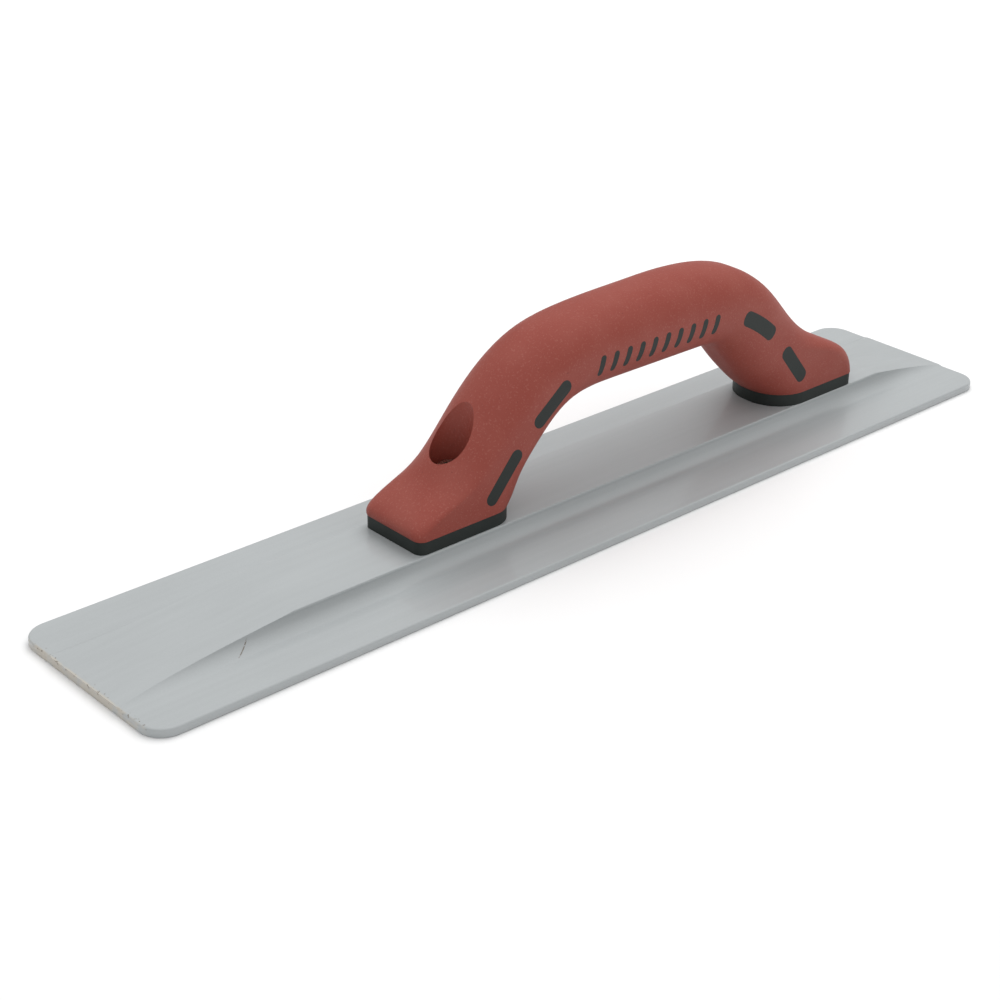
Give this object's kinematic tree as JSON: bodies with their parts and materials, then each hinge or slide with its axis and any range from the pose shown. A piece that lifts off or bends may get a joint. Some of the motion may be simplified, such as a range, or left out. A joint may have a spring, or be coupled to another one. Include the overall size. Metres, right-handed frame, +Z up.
{
  "type": "magnesium hand float",
  "caption": "Concrete finishing float: flat ribbed magnesium blade with bevelled ends under an arched soft-grip handle held on by screws.",
  "frame": {"origin": "centre of the blade's flat sole", "axes": "+X along the blade, from the handle's long sloping front leg towards its steep rear leg; +Y across the blade; +Z up, from the sole towards the grip"},
  "size_m": [0.4064, 0.0794, 0.0768],
  "materials": {
    "magnesium": "satin",
    "hard_plastic": "matte",
    "soft_rubber": "matte",
    "zinc_steel": "zinc plated"
  },
  "bodies": {
    "root": {"blade": "magnesium", "handle_core": "hard_plastic", "soft_grip": "soft_rubber", "front_screw": "zinc_steel", "rear_screw": "zinc_steel"}
  },
  "joints": []
}
